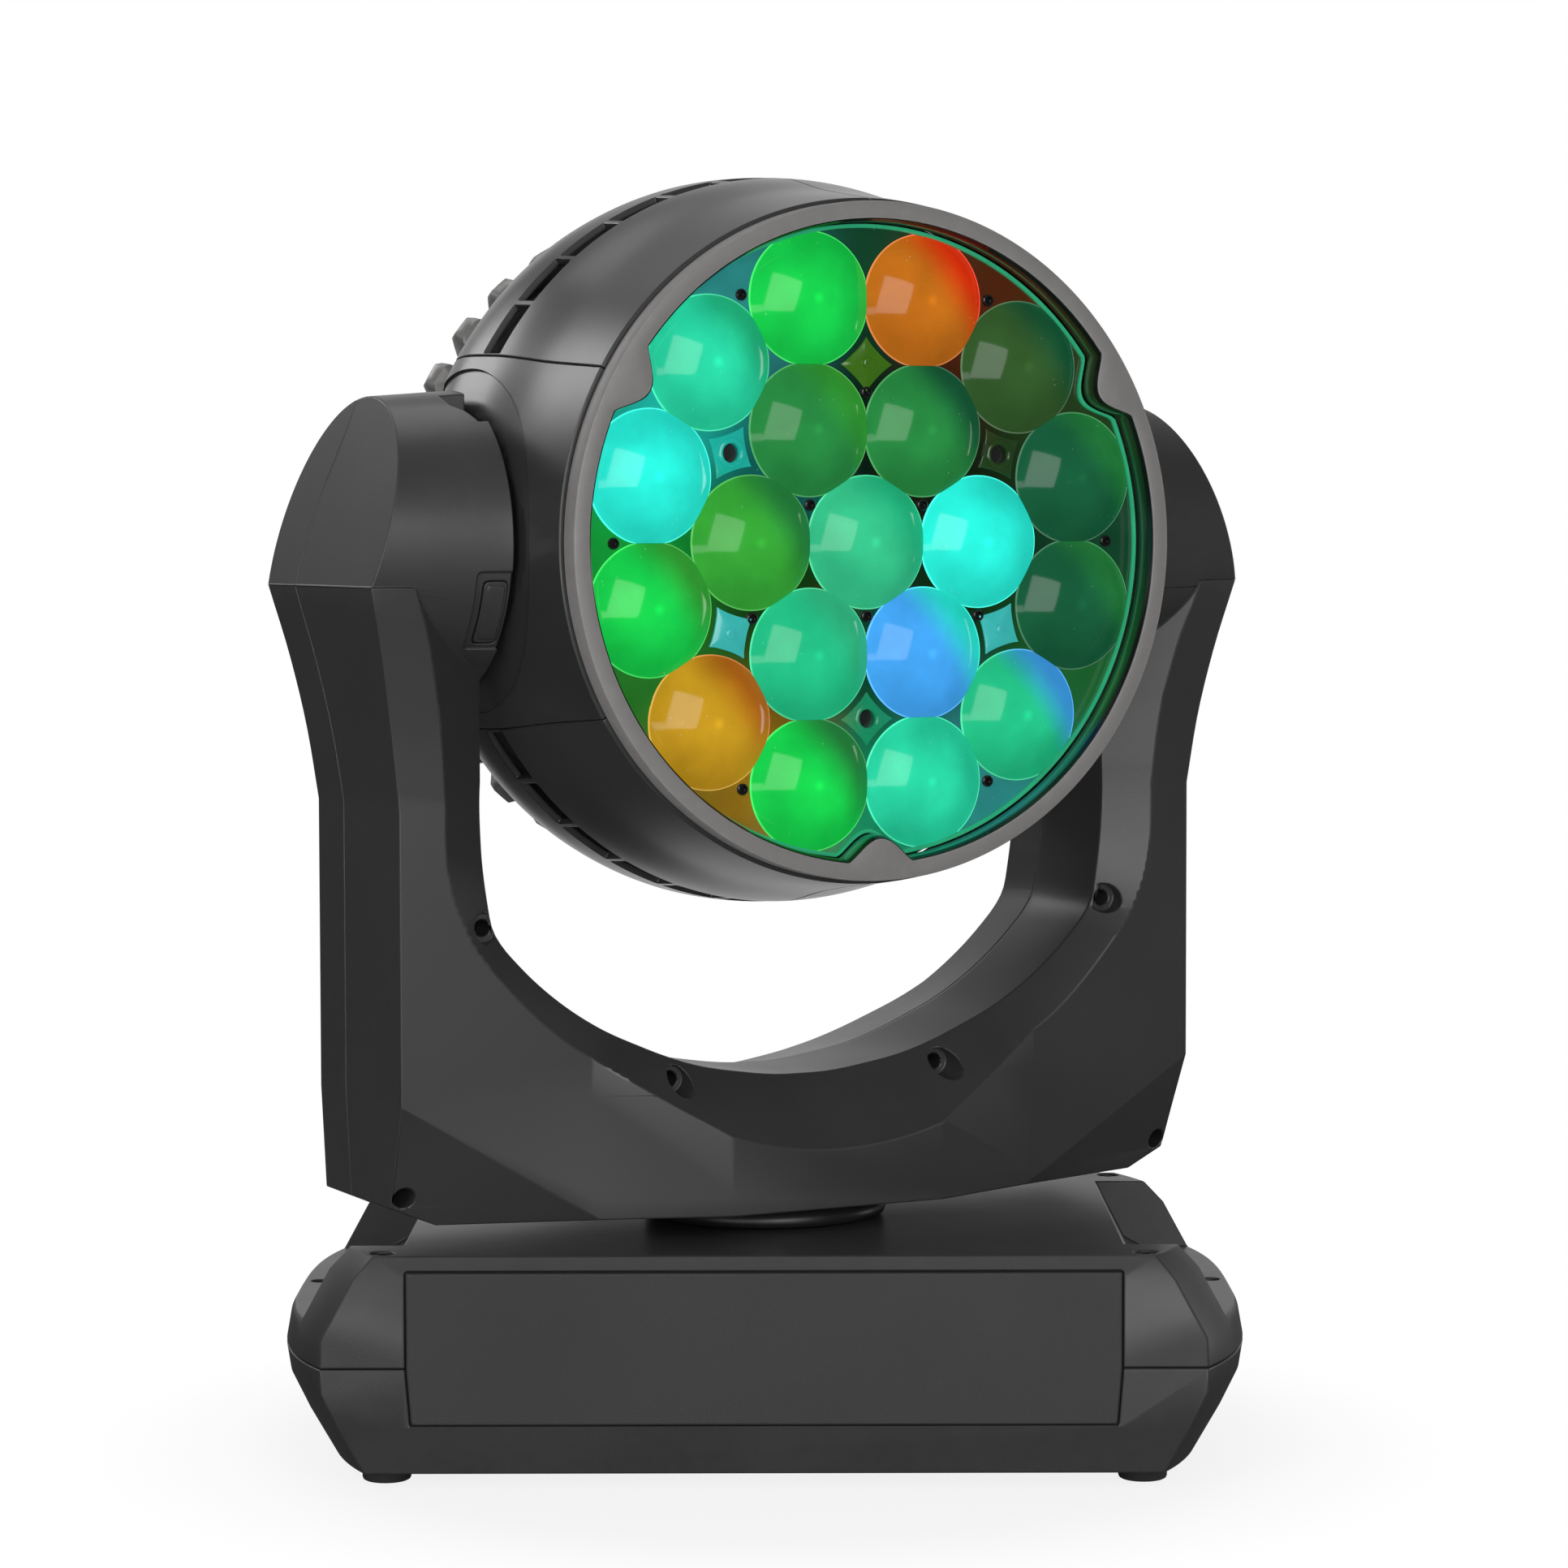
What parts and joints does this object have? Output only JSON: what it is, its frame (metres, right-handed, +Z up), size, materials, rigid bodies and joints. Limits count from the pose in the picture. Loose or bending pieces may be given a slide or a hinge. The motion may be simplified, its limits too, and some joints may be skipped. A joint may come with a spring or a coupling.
{
  "type": "led wash light",
  "caption": "Moving-head wash light: a panning U yoke on a flat base holds a tilting drum head with a plate of domed lenses that slide to zoom.",
  "frame": {"origin": "on the pan axis, on the floor under the feet; the bounding box centre is 3.4 mm further forward because the head leans out to the front", "axes": "+Z up along the pan axis, +X to the right along the base, -Y out of the base front; the yoke and head rest turned 28 degrees about +Z"},
  "size_m": [0.4336, 0.3174, 0.5609],
  "materials": {
    "shell": "fine leather grain, satin",
    "bezel": "sandblasted, satin",
    "dark_plastic": "moulded, matt",
    "sheet_steel": "zinc plated",
    "steel": "turned",
    "cast_aluminium": "cast, satin",
    "sink_aluminium": "extruded, plain",
    "drive_case": "painted, satin",
    "board": "solder mask, satin",
    "led_core": "white solder mask",
    "rubber": "matt",
    "button": "matt",
    "lens": "clear moulded, glossy",
    "light_rod": "clear moulded, glossy",
    "motor_case": "plain"
  },
  "bodies": {
    "base": {"base_lower_shell": "shell", "base_upper_shell": "shell", "base_chassis_plate": "sheet_steel", "front_panel": "shell", "rear_panel": "shell", "foot_1": "rubber", "foot_2": "rubber", "foot_3": "rubber", "foot_4": "rubber", "power_supply": "drive_case", "control_board": "board", "mains_inlet": "dark_plastic", "mains_outlet": "dark_plastic", "data_inlet": "dark_plastic", "data_outlet": "dark_plastic", "pan_bearing": "dark_plastic", "pan_drive_plate": "sheet_steel", "pan_motor": "drive_case", "pan_belt": "rubber"},
    "pan_drive": {"pan_motor_pulley": "sink_aluminium"},
    "key_up": {"menu_button_up": "button"},
    "key_down": {"menu_button_down": "button"},
    "key_back": {"menu_button_back": "button"},
    "key_enter": {"menu_button_enter": "button"},
    "yoke": {"yoke_front_shell": "shell", "yoke_rear_shell": "shell", "yoke_frame": "sheet_steel", "pan_shaft": "sink_aluminium", "pan_drive_pulley": "sink_aluminium", "tilt_bearing_left": "steel", "tilt_bearing_right": "steel", "tilt_motor": "drive_case", "tilt_belt": "rubber"},
    "tilt_drive": {"tilt_motor_pulley": "sink_aluminium"},
    "tilt_lock": {"tilt_lock_button": "shell"},
    "head": {"left_cheek": "shell", "right_cheek": "shell", "cover_top_left": "shell", "cover_top_right": "shell", "cover_bottom_left": "shell", "cover_bottom_right": "shell", "front_bezel": "bezel", "rear_cover": "cast_aluminium", "head_chassis": "sheet_steel", "trunnion_left": "sink_aluminium", "trunnion_right": "sink_aluminium", "tilt_drive_pulley": "sink_aluminium", "heat_sink": "sink_aluminium", "led_board": "led_core", "light_rod_holder": "light_rod", "zoom_motor_1": "motor_case", "zoom_motor_2": "motor_case", "zoom_motor_3": "motor_case", "fan_frame": "dark_plastic"},
    "zoom": {"lens_array": "lens", "lens_carrier": "dark_plastic"},
    "screw_1": {"zoom_lead_screw_1": "steel"},
    "screw_2": {"zoom_lead_screw_2": "steel"},
    "screw_3": {"zoom_lead_screw_3": "steel"},
    "fan": {"fan_rotor": "dark_plastic"}
  },
  "joints": [
    {"name": "pan", "type": "hinge", "parent": "base", "child": "yoke", "pos_m": [0, 0, 0.106], "axis": [0, 0, 1], "range_deg": [-298, 242]},
    {"name": "pan_motor_turn", "type": "hinge", "parent": "base", "child": "pan_drive", "pos_m": [0.092, 0, 0.0735], "axis": [0, 0, 1], "range_deg": [-1790, 1454]},
    {"name": "tilt", "type": "hinge", "parent": "yoke", "child": "head", "pos_m": [0, 0, 0.4006], "axis": [0.8829, 0.4695, 0], "range_deg": [-225, 45]},
    {"name": "tilt_motor_turn", "type": "hinge", "parent": "yoke", "child": "tilt_drive", "pos_m": [0.16511, 0.08779, 0.3], "axis": [0.8829, 0.4695, 0], "range_deg": [-1127, 227]},
    {"name": "tilt_lock_press", "type": "slide", "parent": "yoke", "child": "tilt_lock", "axis": [-0.4695, 0.8829, 0], "range_m": [0, 0.0025], "stiffness_N_per_m": 500, "springref_m": -0.0008},
    {"name": "zoom", "type": "slide", "parent": "head", "child": "zoom", "axis": [0.4695, -0.8829, 0], "range_m": [-0.024, 0]},
    {"name": "zoom_screw_1_turn", "type": "hinge", "parent": "head", "child": "screw_1", "pos_m": [0.05735, 0.03049, 0.4381], "axis": [0.4695, -0.8829, 0], "range_deg": [-1, 1081]},
    {"name": "zoom_screw_2_turn", "type": "hinge", "parent": "head", "child": "screw_2", "pos_m": [-0.05735, -0.03049, 0.4381], "axis": [0.4695, -0.8829, 0], "range_deg": [-1, 1081]},
    {"name": "zoom_screw_3_turn", "type": "hinge", "parent": "head", "child": "screw_3", "pos_m": [0, 0, 0.3256], "axis": [0.4695, -0.8829, 0], "range_deg": [-1, 1081]},
    {"name": "fan_turn", "type": "hinge", "parent": "head", "child": "fan", "pos_m": [0, 0, 0.4006], "axis": [0.4695, -0.8829, 0], "continuous": true},
    {"name": "menu_up_press", "type": "slide", "parent": "base", "child": "key_up", "axis": [0, -1, 0], "range_m": [0, 0.001], "stiffness_N_per_m": 400, "springref_m": -0.0005},
    {"name": "menu_down_press", "type": "slide", "parent": "base", "child": "key_down", "axis": [0, -1, 0], "range_m": [0, 0.001], "stiffness_N_per_m": 400, "springref_m": -0.0005},
    {"name": "menu_back_press", "type": "slide", "parent": "base", "child": "key_back", "axis": [0, -1, 0], "range_m": [0, 0.001], "stiffness_N_per_m": 400, "springref_m": -0.0005},
    {"name": "menu_enter_press", "type": "slide", "parent": "base", "child": "key_enter", "axis": [0, -1, 0], "range_m": [0, 0.001], "stiffness_N_per_m": 400, "springref_m": -0.0005}
  ],
  "couplings": [
    {"joint": "pan_motor_turn", "follows": "pan", "ratio": 6},
    {"joint": "tilt_motor_turn", "follows": "tilt", "ratio": 5},
    {"joint": "zoom_screw_1_turn", "follows": "zoom", "rad_per_m": -785.4},
    {"joint": "zoom_screw_2_turn", "follows": "zoom", "rad_per_m": -785.4},
    {"joint": "zoom_screw_3_turn", "follows": "zoom", "rad_per_m": -785.4}
  ]
}
